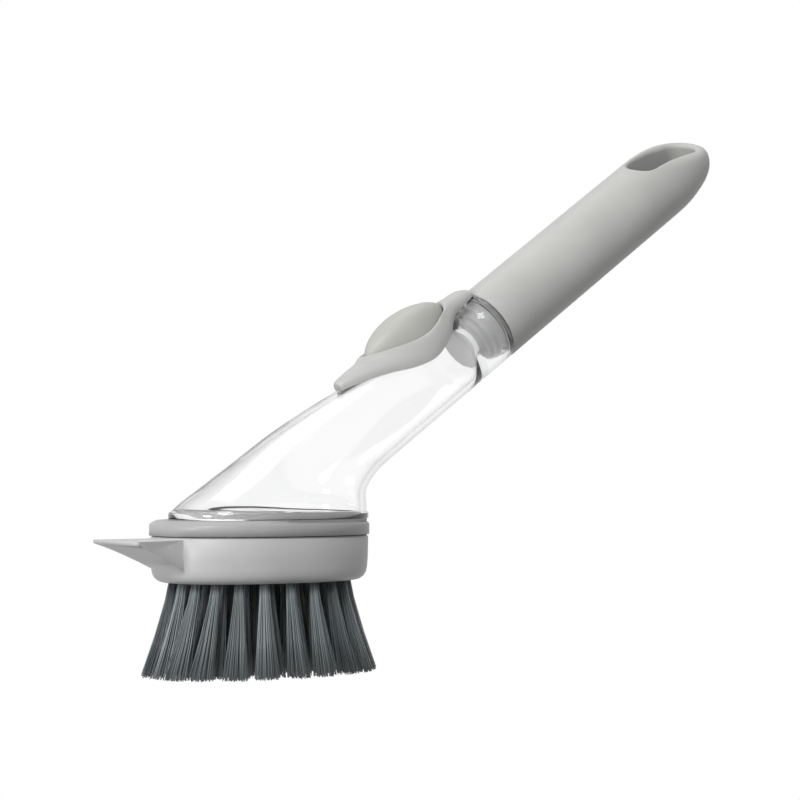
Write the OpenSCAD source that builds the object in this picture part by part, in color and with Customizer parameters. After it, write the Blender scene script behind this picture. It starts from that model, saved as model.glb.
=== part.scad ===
// Dish wand: a screw-on handle, a clear soap tube with a push button, and a pull-off brush head.
// Millimetres. The bristle tips stand on Z = 0, the nose points to -X and the handle to +X.

/* [Tube] */
// Slope of the tube and the handle above level, in degrees
tube_tilt = 35.5; // [33:0.5:38]
// Outer radius of the tube, the neck and the grip
tube_r = 14; // [13:0.5:15]
// Wall of the clear tube
tube_wall = 2; // [1.6:0.1:2.6]
// Where the tube's axis meets the handle, along X
rim_x = 93.6; // [91:0.5:98]
// Where the tube's axis meets the handle, along Z
rim_z = 119.7; // [117:0.5:123]
// How much farther the tube's front stands out at the belly than at the neck
belly_rise = 5; // [4:0.5:6]
// Length of the straight neck
neck_l = 22; // [18:1:24]
// Bore radius of the neck
neck_bore_r = 10.2; // [9.9:0.1:10.8]

/* [Foot of the tube] */
// Length of the oval foot
foot_l = 70.6; // [68:0.2:73]
// Width of the oval foot
foot_w = 49; // [46:0.5:50]
// How far the foot's middle lies behind the head's middle
foot_shift = 3.4; // [2:0.1:4]
// Height of the foot's collar
foot_h = 2.2; // [1.6:0.1:3]
// Squareness of all the ovals, where 2 is a true ellipse
oval_power = 2.25; // [2:0.05:2.6]

/* [Coupling plate] */
// Length of the coupling plate and of the head's rim
plate_l = 77.7; // [75:0.5:82]
// Width of the coupling plate and of the head's rim
plate_w = 52.5; // [50:0.5:56]
// Thickness of the coupling plate
plate_t = 5.1; // [4.6:0.1:6]
// Chamfer on the coupling plate's upper edge, across
plate_chamfer = 2.3; // [1:0.1:2.6]
// Radius of the soap port
port_r = 5; // [4:0.5:5.5]
// Outer radius of the outlet spout
spout_r = 10.4; // [10:0.1:11]
// Length of the outlet spout below the plate
spout_l = 6; // [5:0.5:6.5]
// Radius of the valve's seat inside the spout
valve_seat_r = 7.7; // [7:0.1:8]

/* [Head] */
// Height of the head's underside above the bristle tips
underside_z = 30.7; // [28:0.5:33]
// Depth of the head
head_h = 15.1; // [14:0.1:17]
// Wall of the head
head_wall = 2.2; // [1.8:0.1:2.8]
// Radius of the head's lower edge
head_edge = 4.6; // [3.6:0.1:5]
// Width of the scraper's blade
scraper_w = 31; // [28:1:36]
// Width of the scraper where it leaves the head
scraper_root_w = 24; // [20:1:27]
// How far the scraper reaches beyond the head's rim
scraper_reach = 16.2; // [12:0.2:18]
// Thickness of the scraper's blade at its edge
scraper_t = 1.1; // [0.8:0.1:1.6]

/* [Bristles] */
// Tufts in the outer, the middle and the inner oval
tuft_counts = [22, 16, 8];
// Strands in each tuft
tuft_strands = 9; // [7:1:10]
// Radius of a strand
strand_r = 0.34; // [0.28:0.02:0.38]
// Radius of a tuft hole
tuft_hole_r = 1.8; // [1.7:0.05:1.9]
// Length of the oval that the bristle tips fill
tips_l = 82.6; // [80:0.2:86]
// Width of the oval that the bristle tips fill
tips_w = 55.4; // [54:0.2:57]
// How much wider a tuft is at the tips than at the roots
tuft_spread = 3.1; // [2.4:0.1:3.2]

/* [Grip] */
// Length of the grip
grip_l = 126; // [118:1:132]
// Wall of the grip's soft skin
grip_wall = 2.2; // [1.8:0.1:2.6]
// Length of the hang hole
hang_l = 32; // [24:1:34]
// Width of the hang hole
hang_w = 13; // [11:0.5:14]
// Distance from the grip's end to the hang hole
hang_end = 4; // [4:0.5:8]
// Turn of the grip's end with its hang hole about the grip's axis, in degrees
end_turn = 20; // [0:1:30]
// Fall of the flat across the grip's end for each millimetre along it
end_slope = 0.34; // [0.2:0.02:0.4]
// Solid length between the rigid core and the hang hole
core_room = 6; // [3:0.5:12]
// Wall of the grip's rigid core
core_wall = 1.8; // [1.5:0.1:2.4]

/* [Screw fitting] */
// Length of the threaded spigot
spigot_l = 12.8; // [11.5:0.1:13.5]
// Radius of the spigot at the root of its thread
spigot_r = 9; // [8.6:0.1:9.3]
// Distance from one ridge of the three-start thread to the next
thread_pitch = 3; // [2.5:0.25:3.5]
// Thickness of the neck seal
seal_t = 1.6; // [1.2:0.1:2]

/* [Button] */
// Length of the button
button_l = 36; // [33:0.5:37]
// Width of the button at its widest
button_w = 17; // [15:0.5:18]
// Height of the button's top above the tube's axis
button_top = 25; // [24:0.1:25.8]
// Distance of the button's middle from the handle
button_s = 31.4; // [30:0.2:32]
// Wall of the button's soft dome
button_wall = 1.6; // [1.2:0.1:2]
// Travel of the button
button_travel = 2.2; // [1.5:0.1:2.4]
// Width of the bezel at its widest
bezel_w = 24.4; // [23:0.2:25]
// Height of the bezel's ridge above the tube's axis
bezel_top = 18.4; // [17.8:0.1:19]

/* [Clearances] */
// Gap between a moving piece and what it slides or turns in
slide_gap = 0.3; // [0.2:0.05:0.4]
// Gap between fixed pieces that are fitted into each other
seat_gap = 0.15; // [0.1:0.05:0.25]
// Gap round an outer seam
seam_gap = 0.3; // [0.2:0.05:0.5]

/* [Hidden] */

$fn = 72;
ring_n = 40;
oval_n = 60;

// Heights, from the bristle tips up
head_top_z = underside_z + head_h;
plate_z = head_top_z + seam_gap;
deck_z = plate_z + plate_t;
gasket_proud = 0.2;
foot_z = deck_z + gasket_proud;
spout_z = plate_z - spout_l;
tuft_plate_t = 3.4;
slice_t = 0.9;
anchor_h = 0.7;
tuft_plate_z = underside_z + 0.5;
slice_z = tuft_plate_z + tuft_plate_t + 0.1;
slice_top = slice_z + slice_t;
web_z = slice_top + anchor_h + 0.1;
web_t = 1.2;

// The foot's ends
foot_front = foot_shift - foot_l / 2;
foot_back = foot_shift + foot_l / 2;
foot_wall = tube_wall + 0.4;

// The tube's own axes: s runs from the rim towards the handle, u from the axis to the button's side
function tube_at(s, u, y = 0) = [
    rim_x + s * cos(tube_tilt) - u * sin(tube_tilt),
    y,
    rim_z + s * sin(tube_tilt) + u * cos(tube_tilt)];

module along_tube() translate([rim_x, 0, rim_z]) rotate([0, 90 - tube_tilt, 0]) rotate([0, 0, 180]) children();

// Local X is u and local Z is s, so a flat outline with [s, y] points stands on the tube like this
module on_tube(u0, u1) mirror([1, 0, -1]) translate([0, 0, u0]) linear_extrude(u1 - u0) children();

function sign_power(v, p) = sign(v) * pow(abs(v), p);
function oval_x(angle, power) = sign_power(cos(angle), 2 / power);
function oval_y(angle, power) = sign_power(sin(angle), 2 / power);
function oval(l, w, power = oval_power, n = oval_n) = [for (i = [0:n - 1])
    [l / 2 * oval_x(i * 360 / n, power), w / 2 * oval_y(i * 360 / n, power)]];
function oval_ring(l, w, z, x = 0, power = oval_power) = [for (p = oval(l, w, power)) [p.x + x, p.y, z]];

// Curve through four stations, between the middle two
function curve(a, b, c, d, t) = 0.5 * (2 * b + (c - a) * t + (2 * a - 5 * b + 4 * c - d) * t * t
    + (3 * b - a - 3 * c + d) * t * t * t);
function station(list, i) = list[max(0, min(len(list) - 1, i))];
function refine(list, steps) = [for (i = [0:len(list) - 2], k = [0:steps - 1])
    curve(station(list, i - 1), list[i], list[i + 1], station(list, i + 2), k / steps), list[len(list) - 1]];

// Skin between rings of points: closed by two flat ends, or run round into itself
function skin_faces(m, n, wrap) = [for (i = [0:m - (wrap ? 1 : 2)], k = [0:n - 1])
    let (a = i * n + k, b = i * n + (k + 1) % n, c = ((i + 1) % m) * n + (k + 1) % n, d = ((i + 1) % m) * n + k)
    each [[a, c, b], [a, d, c]]];
function end_faces(m, n) = [for (k = [1:n - 2])
    each [[0, k, k + 1], [(m - 1) * n, (m - 1) * n + k + 1, (m - 1) * n + k]]];
module loft(rings) polyhedron([for (r = rings) each r],
    concat(skin_faces(len(rings), len(rings[0]), false), end_faces(len(rings), len(rings[0]))));
module loop_loft(rings) polyhedron([for (r = rings) each r], skin_faces(len(rings), len(rings[0]), true));

// Clear tube, neck and foot

// Rise of the tube's front line above a plain round tube
rise_end = -76;
function top_u(s) = tube_r + belly_rise * 0.72 * pow(max(0, -s - neck_l) / (-rise_end - neck_l), 2);

belly_u = tube_r + belly_rise;
belly_end_s = (deck_z + 10 - rim_z - belly_u * cos(tube_tilt)) / sin(tube_tilt);
heel_s = (foot_back + 2.4 - rim_x - tube_r * sin(tube_tilt)) / cos(tube_tilt);
heel_z = tube_at(heel_s, -tube_r).z;

function front(s) = [tube_at(s, top_u(s)).x, tube_at(s, top_u(s)).z];
function belly(share) = let (s = rise_end + (belly_end_s - rise_end) * share, p = tube_at(s, belly_u)) [p.x, p.z];
function back(s) = [tube_at(s, -tube_r).x, tube_at(s, -tube_r).z];
function body_station(f, b, half_w, power) = concat(f, b, [half_w, power]);

body_stations = [
    body_station(front(0.5 - neck_l), back(0.5 - neck_l), tube_r, 2),
    body_station(front(-30), back(-30), tube_r, 2),
    body_station(front(-45), back(-45), tube_r, 2),
    body_station(front(-60), back(heel_s + 16), tube_r + 0.2, 2),
    body_station(front(rise_end), back(heel_s + 7.5), tube_r + 1.4, 2.02),
    body_station(belly(0.35), back(heel_s + 3), tube_r + (foot_w / 2 - tube_r) * 0.36, 2.05),
    body_station(belly(0.7), [foot_back + 0.9, heel_z - 2.2], tube_r + (foot_w / 2 - tube_r) * 0.62, 2.1),
    body_station(belly(1), [foot_back - 0.9, deck_z + 8.6], tube_r + (foot_w / 2 - tube_r) * 0.82, 2.2),
    body_station([foot_front + 4.2, deck_z + 5.4], [foot_back - 0.8, deck_z + 4.8], foot_w / 2 - 0.9, oval_power),
    body_station([foot_front + 0.9, foot_z + foot_h + 0.3], [foot_back - 0.7, foot_z + foot_h + 0.3],
        foot_w / 2 - 0.7, oval_power)];
body_sections = refine(body_stations, 2);

function section_ring(s, wall) = let (f = [s[0], 0, s[1]], b = [s[2], 0, s[3]], c = (f + b) / 2, h = (f - b) / 2,
    k = 1 - wall / norm(h))
    [for (i = [0:ring_n - 1]) let (a = i * 360 / ring_n)
        c + h * k * oval_x(a, s[5]) + [0, (s[4] - wall) * oval_y(a, s[5]), 0]];
function foot_ring(inset, z) = [for (i = [0:ring_n - 1]) let (a = i * 360 / ring_n)
    [foot_shift - (foot_l / 2 - inset) * oval_x(a, oval_power), (foot_w / 2 - inset) * oval_y(a, oval_power), z]];

section_count = len(body_sections);
body_rings = concat(
    [for (i = [0:section_count - 1]) section_ring(body_sections[i], i == 0 ? 0.05 : 0)],
    [foot_ring(0, foot_z + foot_h), foot_ring(0, foot_z), foot_ring(foot_wall, foot_z)],
    [for (i = [section_count - 1:-1:0]) section_ring(body_sections[i], tube_wall)]);

seat_w = 9;
seat_l = 20;
seat_lip = 0.4;
seat_top = 15.5;
module slot(l, w, grow = 0) {
    square([l - w, w + 2 * grow], center = true);
    for (e = [-1, 1]) translate([e * (l - w) / 2, 0]) circle(w / 2 + grow);
}

module reservoir() color("white", 0.35) difference() {
    union() {
        loop_loft(body_rings);
        along_tube() translate([0, 0, -neck_l]) difference() {
            cylinder(r = tube_r, h = neck_l - seam_gap);
            translate([0, 0, -1]) cylinder(r = neck_bore_r, h = neck_l + 2);
        }
    }
    along_tube() translate([0, 0, -seal_t - 0.4]) cylinder(r = neck_bore_r + 1.2, h = 9);
    along_tube() on_tube(6, 30) translate([-button_s, 0]) slot(seat_l, seat_w, seat_gap);
}

// Button, its bezel and its seat

function tube_top(s, y) = let (a = (top_u(s) + tube_r) / 2) a - tube_r + a * sqrt(max(0, 1 - y * y / (tube_r * tube_r)));

// Each station is the distance along the tube, half the width, and the ridge's height
tail_s = -button_s - button_l / 2 - 16;
bezel_stations = [
    [-0.6, 4.4, bezel_top - 2.2],
    [-4, 4.8, bezel_top - 0.8],
    [-10, 5.4, bezel_top - 0.3],
    [-15.5, bezel_w * 0.32, bezel_top],
    [-21, bezel_w * 0.43, bezel_top + 0.2],
    [-31, bezel_w * 0.5, bezel_top + 0.3],
    [-41, bezel_w * 0.455, bezel_top + 0.7],
    [-49, bezel_w * 0.345, bezel_top + 1.2],
    [-57, bezel_w * 0.225, bezel_top + 1.5],
    [tail_s + 2.6, bezel_w * 0.14, bezel_top + 1.5],
    [tail_s + 0.5, bezel_w * 0.1, bezel_top + 1.1],
    [tail_s, bezel_w * 0.08, bezel_top + 0.4]];
bezel_sections = refine(bezel_stations, 2);
bezel_edge = 0.7;

function bezel_u(c, y) = let (foot = tube_top(c[0], c[1]) + slide_gap + bezel_edge)
    foot + (c[2] - foot) * sqrt(max(0, 1 - y * y / (c[1] * c[1])));
function bezel_ring(c) = concat(
    [for (i = [0:16]) let (y = c[1] * cos(i * 180 / 16)) [bezel_u(c, y), y, c[0]]],
    [for (i = [8:-1:0]) let (y = c[1] * cos(i * 180 / 8)) [tube_top(c[0], y) + slide_gap, y, c[0]]]);

// Station of the bezel at any place along the tube
function between(list, s, i = 0) = i >= len(list) - 2 || s >= list[i + 1][0]
    ? let (t = (s - list[i][0]) / (list[i + 1][0] - list[i][0])) list[i] + (list[i + 1] - list[i]) * t
    : between(list, s, i + 1);

egg = 0.2;
function egg_point(angle, grow) = [
    -button_s + (button_l / 2 + grow) * cos(angle),
    (button_w / 2 + grow) * sin(angle) * (1 + egg * cos(angle)) / (1 + egg * egg)];
function egg_outline(grow) = [for (i = [0:ring_n - 1]) egg_point(i * 360 / ring_n, grow)];

module button_bezel() color("gainsboro") difference() {
    along_tube() loft([for (c = bezel_sections) bezel_ring(c)]);
    along_tube() on_tube(0, 40) polygon(egg_outline(slide_gap));
}

module button_seat() color("lightgray") along_tube() difference() {
    union() {
        on_tube(seat_top - 4.9, seat_top - 0.3) translate([-button_s, 0]) slot(seat_l, seat_w);
        on_tube(seat_top - 0.6, seat_top) translate([-button_s, 0]) slot(seat_l, seat_w, seat_lip);
    }
    on_tube(0, 40) translate([-button_s, 0]) slot(seat_l, seat_w, -1.6);
}

// The dome is flat over its middle and turns down steeply at its rim
dome_flat = 3.8;
dome_edge = 0.48;
// Height of the dome over the point at a share of the way from its middle to its rim
function dome_u(angle, share, grow, drop) = let (
    rim = egg_point(angle, grow),
    p = [-button_s, 0] + (rim - [-button_s, 0]) * share,
    base = bezel_u(between(bezel_sections, rim[0]), rim[1]) - 0.5,
    crown = button_top - 0.0075 * pow(p[0] + button_s + 3, 2))
    base + (crown - base) * pow(max(0, 1 - pow(share, dome_flat)), dome_edge) - drop;
function dome_ring(share, grow, drop, skirt = 0) = [for (i = [0:ring_n - 1])
    let (a = -i * 360 / ring_n, p = [-button_s, 0] + (egg_point(a, grow) - [-button_s, 0]) * share)
    [dome_u(a, share, grow, drop) - skirt, p[1], p[0]]];
dome_shares = [1, 0.985, 0.95, 0.88, 0.76, 0.58, 0.36, 0.12];
// The skirt stops short of the tube when the button is fully in
rim_room = 3.1;
dome_skirt = rim_room - button_travel;

module pump_button() color("silver") along_tube() difference() {
    loft(concat([dome_ring(1, 0, 0, dome_skirt)], [for (t = dome_shares) dome_ring(t, 0, 0)]));
    loft(concat([dome_ring(1, -button_wall, 0, dome_skirt + 3)],
        [for (t = dome_shares) dome_ring(t, -button_wall, button_wall)]));
}

// Coupling plate, gasket, valve and seals

gasket_t = 0.8;
gasket_w = 1.4;
upstand_gap = 0.5;
upstand_h = 2;

module gasket_outline(grow) difference() {
    polygon(oval(foot_l - foot_wall + gasket_w + 2 * grow, foot_w - foot_wall + gasket_w + 2 * grow));
    polygon(oval(foot_l - foot_wall - gasket_w - 2 * grow, foot_w - foot_wall - gasket_w - 2 * grow));
}

o_ring_section = 0.8;
o_ring_r = spout_r - 0.15;
o_ring_z = spout_z + 2.6;
socket_r = o_ring_r + o_ring_section + 0.05;

module coupling_plate() color("darkgray") difference() {
    union() {
        loft([
            oval_ring(plate_l, plate_w, plate_z),
            oval_ring(plate_l, plate_w, deck_z - 1.7),
            oval_ring(plate_l - 0.7, plate_w - 0.7, deck_z - 1.1),
            oval_ring(plate_l - 2 * plate_chamfer, plate_w - 2 * plate_chamfer, deck_z)]);
        translate([foot_shift, 0, deck_z - 1]) linear_extrude(1 + upstand_h) difference() {
            polygon(oval(foot_l - 2 * (foot_wall + upstand_gap), foot_w - 2 * (foot_wall + upstand_gap)));
            polygon(oval(foot_l - 2 * (foot_wall + upstand_gap) - 2.4, foot_w - 2 * (foot_wall + upstand_gap) - 2.4));
        }
        translate([0, 0, spout_z]) cylinder(r = spout_r, h = spout_l + 1);
    }
    translate([foot_shift, 0, deck_z - gasket_t + gasket_proud]) linear_extrude(3) gasket_outline(0.1);
    cylinder(r = port_r, h = deck_z + 9);
    translate([0, 0, spout_z - 1]) cylinder(r = valve_seat_r, h = spout_l);
    translate([0, 0, o_ring_z - o_ring_section - 0.1]) difference() {
        cylinder(r = spout_r + 5, h = 2 * o_ring_section + 0.2);
        translate([0, 0, -1]) cylinder(r = o_ring_r - o_ring_section, h = 2 * o_ring_section + 3);
    }
}

module base_gasket() color("dimgray")
    translate([foot_shift, 0, deck_z - gasket_t + gasket_proud]) linear_extrude(gasket_t) gasket_outline(0);

valve_flange_t = 1.4;
valve_z = plate_z - 1;
module dispensing_valve() color("white") translate([0, 0, valve_z]) rotate_extrude() polygon([
    [0, 0.4], [2, 0.1], [3.4, -valve_flange_t], [valve_seat_r - seat_gap, -valve_flange_t],
    [valve_seat_r - seat_gap, -0.02], [4.6, -0.02], [3.2, 1], [1.6, 1.5], [0, 1.6]]);

retainer_t = 2.4;
module valve_retainer() color("lightgray") translate([0, 0, valve_z - valve_flange_t - 0.02 - retainer_t])
    difference() {
        cylinder(r = valve_seat_r - seat_gap, h = retainer_t);
        translate([0, 0, -1]) cylinder(r = valve_seat_r - 2.3, h = retainer_t + 2);
    }

module outlet_o_ring() color("dimgray") translate([0, 0, o_ring_z])
    rotate_extrude() translate([o_ring_r, 0]) circle(o_ring_section, $fn = 32);

// Brush head

// Each station is the height above the underside, and how far the wall stands in there
head_stations = [
    [0, head_edge],
    [0.35, head_edge - 1.4],
    [1.3, head_edge - 2.7],
    [2.7, head_edge - 3.5],
    [4.6, 0.75],
    [8, 0.5],
    [head_h - 0.7, 0.4],
    [head_h, 0.9]];
recess_inset = head_edge + 0.5;
cavity_inset = 0.5 + head_wall;
outlet_r = 3;

nose_x = -plate_l / 2;
blade_x = nose_x - scraper_reach;
blade_z = head_top_z - 0.9;
scraper_root_z = underside_z + 4.4;
// Outline of the scraper from the side, its blade level with the rim and its underside a hollow slope
module scraper_side() polygon(concat([
    [nose_x + 8, scraper_root_z - 0.5],
    [nose_x + 8, blade_z + 0.2],
    [blade_x + 0.5, blade_z],
    [blade_x, blade_z - 0.4]],
    [for (t = [0:0.1:1]) [blade_x + 0.3 + (nose_x + 4 - blade_x - 0.3) * t,
        blade_z - scraper_t - (blade_z - scraper_t - scraper_root_z) * pow(t, 1.2)]]));
// Half outline of the scraper from above, narrower at the head, with its corner rounded
scraper_corner = 2;
scraper_half = concat(
    [for (a = [0:22.5:90]) [blade_x + scraper_corner * (1 - cos(a)), scraper_w / 2 - scraper_corner * (1 - sin(a))]],
    [[nose_x + 3, scraper_root_w / 2], [nose_x + 8, scraper_root_w / 2 - 1]]);
module scraper_plan() polygon(concat(scraper_half,
    [for (i = [len(scraper_half) - 1:-1:0]) [scraper_half[i].x, -scraper_half[i].y]]));

module scraper() intersection() {
    rotate([90, 0, 0]) linear_extrude(plate_w, center = true) scraper_side();
    linear_extrude(head_top_z) scraper_plan();
}

module head_shell() color("gainsboro") difference() {
    union() {
        loft([for (h = head_stations)
            oval_ring(plate_l - 2 * h[1], plate_w - 2 * h[1], underside_z + h[0])]);
        scraper();
    }
    translate([0, 0, underside_z - 1]) linear_extrude(web_z - underside_z + 1)
        polygon(oval(plate_l - 2 * recess_inset, plate_w - 2 * recess_inset));
    translate([0, 0, web_z + web_t]) linear_extrude(head_h) difference() {
        polygon(oval(plate_l - 2 * cavity_inset, plate_w - 2 * cavity_inset));
        circle(socket_r + 1.8);
    }
    translate([0, 0, web_z + web_t]) cylinder(r = socket_r, h = head_h);
    translate([0, 0, spout_z - 1 + spout_l]) cylinder(r = socket_r + 2, h = head_h);
    cylinder(r = outlet_r, h = head_top_z + 1);
}

// Solid rim of the tuft plate outside the outer tufts' middles, at its ends and at its sides
end_rim = 3.1;
side_rim = 2.3;
field_l = plate_l - 2 * (recess_inset + end_rim);
field_w = plate_w - 2 * (recess_inset + side_rim);
oval_shares = [1, 0.72, 0.42];
tuft_xy = [for (row = [0:2], i = [0:tuft_counts[row] - 1])
    let (a = (i + 0.5) * 360 / tuft_counts[row], k = oval_shares[row])
    [field_l / 2 * k * oval_x(a, 2.1), field_w / 2 * k * oval_y(a, 2.1)]];
root_z = slice_z + 0.3;
cluster_r = 0.98;
tip_reach = cluster_r * tuft_spread + strand_r;
spread_x = (tips_l - 2 * tip_reach) / field_l;
spread_y = (tips_w - 2 * tip_reach) / field_w;
// A tuft's middle at a height, on its straight line from the root to the tip
function tuft_at(c, z) = let (k = (root_z - z) / root_z)
    [c.x * (1 + (spread_x - 1) * k), c.y * (1 + (spread_y - 1) * k)];

hole_low = tuft_plate_z - 2;
hole_high = slice_z + 2;
module tuft_holes(r) for (c = tuft_xy) {
    low = tuft_at(c, hole_low);
    lean = low - tuft_at(c, hole_high);
    translate([low.x, low.y, hole_low])
        rotate([0, atan(-norm(lean) / (hole_high - hole_low)), atan2(lean.y, lean.x)])
        cylinder(r = r, h = hole_high - hole_low + 1, $fn = 24);
}

module tuft_plate() color("gainsboro") difference() {
    translate([0, 0, tuft_plate_z]) linear_extrude(tuft_plate_t)
        polygon(oval(plate_l - 2 * recess_inset - 2 * seat_gap, plate_w - 2 * recess_inset - 2 * seat_gap));
    tuft_holes(tuft_hole_r);
    cylinder(r = outlet_r, h = hole_high);
}

module tuft_anchors() color("silver") for (c = tuft_xy)
    translate([c.x, c.y, slice_top + 0.05 + anchor_h / 2]) cube([2.8, 0.5, anchor_h - 0.05], center = true);

// One strand in the middle of a tuft and the rest round it, kept in mirrored order on the two sides
function strand_offset(i, side) = i == 0 ? [0, 0]
    : cluster_r * [cos(360 * (i - 1) / (tuft_strands - 1)), side * sin(360 * (i - 1) / (tuft_strands - 1))];
strand_ends = [for (c = tuft_xy, i = [0:tuft_strands - 1])
    let (q = strand_offset(i, sign(c.y)), side = sign(c.y))
    [c + q, tuft_at(c, 0) + q * tuft_spread, side]];
strand_sides = 3;
strand_points = [for (e = strand_ends, end = [0, 1], k = [0:strand_sides - 1])
    let (a = e[2] * (k * 360 / strand_sides + 90))
    [e[end].x + strand_r * cos(a), e[end].y + strand_r * sin(a), end == 0 ? root_z : 0]];
strand_faces = [for (i = [0:len(strand_ends) - 1])
    let (b = i * 6, s = strand_ends[i][2] > 0)
    each [for (f = [[0, 1, 2], [3, 5, 4], [0, 3, 1], [1, 3, 4], [1, 4, 2], [2, 4, 5], [2, 5, 0], [0, 5, 3]])
        s ? [b + f[0], b + f[2], b + f[1]] : [b + f[0], b + f[1], b + f[2]]]];

module bristles() color("darkslategray") resize([0, 0, slice_top]) union() {
    translate([0, 0, slice_z]) linear_extrude(slice_t) difference() {
        polygon(oval(plate_l - 2 * recess_inset - 1, plate_w - 2 * recess_inset - 1));
        circle(outlet_r, $fn = 32);
    }
    polyhedron(strand_points, strand_faces);
}

// Handle

// Each station is the distance from the rim, the top, the bottom and half the width
grip_start = [
    [0, tube_r - 0.6, tube_r - 0.6, tube_r - 0.6],
    [0.25, tube_r - 0.2, tube_r - 0.2, tube_r - 0.2],
    [0.9, tube_r, tube_r, tube_r],
    [30, tube_r, tube_r, tube_r],
    [70, tube_r, tube_r, tube_r]];
// Each station is the distance before the grip's end, and shares of the tube's radius
end_shares = [
    [32, 1, 1, 1],
    [26, 1, 1, 0.995],
    [20, 1, 0.98, 0.98],
    [14, 0.95, 0.93, 0.93],
    [9, 0.8, 0.84, 0.85],
    [5, 0.62, 0.7, 0.71],
    [2, 0.42, 0.5, 0.5],
    [0.5, 0.24, 0.3, 0.28],
    [0, 0.1, 0.15, 0.12]];
grip_stations = concat(grip_start, [for (e = end_shares) [grip_l - e[0], tube_r * e[1], tube_r * e[2], tube_r * e[3]]]);
// The flat that the hang hole opens in cuts off the top of every ring beyond its start
flat_before_end = 31.4;
function flat_u(s) = tube_r - end_slope * (s - grip_l + flat_before_end);
function grip_ring(g) = [for (i = [0:ring_n - 1]) let (a = i * 360 / ring_n)
    [min((g[1] - g[2]) / 2 + (g[1] + g[2]) / 2 * cos(a), flat_u(g[0])), g[3] * sin(a), g[0]]];

grip_bore_r = tube_r - grip_wall;
flange_t = 2;
hang_middle = grip_l - hang_end - hang_l / 2;
core_l = grip_l - hang_end - hang_l - core_room;

module grip_sleeve() color("darkgray") along_tube() rotate([0, 0, end_turn]) difference() {
    loft([for (g = grip_stations) grip_ring(g)]);
    translate([0, 0, -1]) cylinder(r = grip_bore_r, h = core_l + 1 + seat_gap);
    translate([0, 0, -1]) cylinder(r = grip_bore_r + 0.7, h = flange_t + 1 + seat_gap);
    on_tube(-2 * tube_r, 2 * tube_r) translate([hang_middle, 0]) slot(hang_l, hang_w);
}

ridge_h = neck_bore_r - slide_gap - spigot_r;
module handle_core() color("darkgray") along_tube() difference() {
    union() {
        translate([0, 0, 0.2]) cylinder(r = grip_bore_r + 0.7 - seat_gap, h = flange_t - 0.2);
        translate([0, 0, 1]) cylinder(r = grip_bore_r - seat_gap, h = core_l - 1);
        translate([0, 0, -spigot_l]) cylinder(r = spigot_r, h = spigot_l + 1);
        for (k = [0:2]) translate([0, 0, -spigot_l + 0.6 + k * thread_pitch])
            rotate_extrude() translate([spigot_r - 0.1, 0]) polygon([
                [0, 0], [0.1 + ridge_h, 0.7], [0.1 + ridge_h, 1.1], [0, 1.9]]);
    }
    translate([0, 0, -spigot_l - 1]) cylinder(r = spigot_r - core_wall, h = spigot_l + 5);
    translate([0, 0, 3.9]) cylinder(r = grip_bore_r - seat_gap - core_wall, h = core_l - 3.9 - core_wall);
}

plug_t = 1.8;
cap_t = 1.2;
module spigot_plug() color("white") along_tube() translate([0, 0, -spigot_l - cap_t]) {
    cylinder(r = spigot_r, h = cap_t);
    cylinder(r = spigot_r - core_wall - 0.05, h = cap_t + plug_t);
}

module neck_seal() color("dimgray") along_tube() translate([0, 0, -seal_t]) difference() {
    cylinder(r = neck_bore_r + 1.2 - slide_gap, h = seal_t + 0.15);
    translate([0, 0, -1]) cylinder(r = spigot_r + 0.05, h = seal_t + 3);
}

reservoir();
button_bezel();
button_seat();
pump_button();
coupling_plate();
base_gasket();
dispensing_valve();
valve_retainer();
outlet_o_ring();
head_shell();
tuft_plate();
tuft_anchors();
bristles();
grip_sleeve();
handle_core();
spigot_plug();
neck_seal();
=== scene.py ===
import math

import bmesh
import bpy
import numpy as np
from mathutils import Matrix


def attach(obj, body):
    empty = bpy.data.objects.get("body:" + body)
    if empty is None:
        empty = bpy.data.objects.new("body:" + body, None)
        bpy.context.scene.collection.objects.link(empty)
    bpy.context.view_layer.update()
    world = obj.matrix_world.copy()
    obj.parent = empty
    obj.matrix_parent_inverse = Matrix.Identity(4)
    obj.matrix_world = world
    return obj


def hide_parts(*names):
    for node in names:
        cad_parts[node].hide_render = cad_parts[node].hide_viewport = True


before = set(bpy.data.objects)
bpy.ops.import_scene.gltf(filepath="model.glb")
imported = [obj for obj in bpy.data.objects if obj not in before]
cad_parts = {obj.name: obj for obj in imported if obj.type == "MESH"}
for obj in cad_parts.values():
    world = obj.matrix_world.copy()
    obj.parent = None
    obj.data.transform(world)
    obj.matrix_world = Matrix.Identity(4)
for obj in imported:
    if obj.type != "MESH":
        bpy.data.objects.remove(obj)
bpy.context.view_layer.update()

# The clear tube is one blow-moulded shell of clear plastic, about 2 mm thick.
# It runs from a round neck at the handle to a wide oval foot, which snaps down over the coupling plate.
# Lengths in this file are worked out in millimetres and put into each mesh in metres.
MM = 0.001
# In metres: places nearer than MERGE become one, and edges shorter than SLIVER are dissolved
MERGE, SLIVER = 2e-6, 1e-7
TILT = math.radians(35.5)
ALONG = np.array([math.cos(TILT), 0.0, math.sin(TILT)])
TOWARDS_BUTTON = np.array([-math.sin(TILT), 0.0, math.cos(TILT)])
ACROSS = np.array([0.0, 1.0, 0.0])
RIM = np.array([93.6, 0.0, 119.7])
TUBE_R = 14.0
WALL = 2.0
OVAL_POWER = 2.25


def on_tube(s, u, y):
    """Rim point, plus s along the tube, u from its axis towards the button and y across it."""
    s, u, y = np.broadcast_arrays(s, u, y)
    return RIM + s[..., None] * ALONG + u[..., None] * TOWARDS_BUTTON + y[..., None] * ACROSS


def rounded(angle, power):
    """Cosine and sine of the angle, each raised to 2 / power with its sign kept: a squared-off oval."""
    c, s = np.cos(angle), np.sin(angle)
    return np.sign(c) * np.abs(c) ** (2 / power), np.sign(s) * np.abs(s) ** (2 / power)


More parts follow.
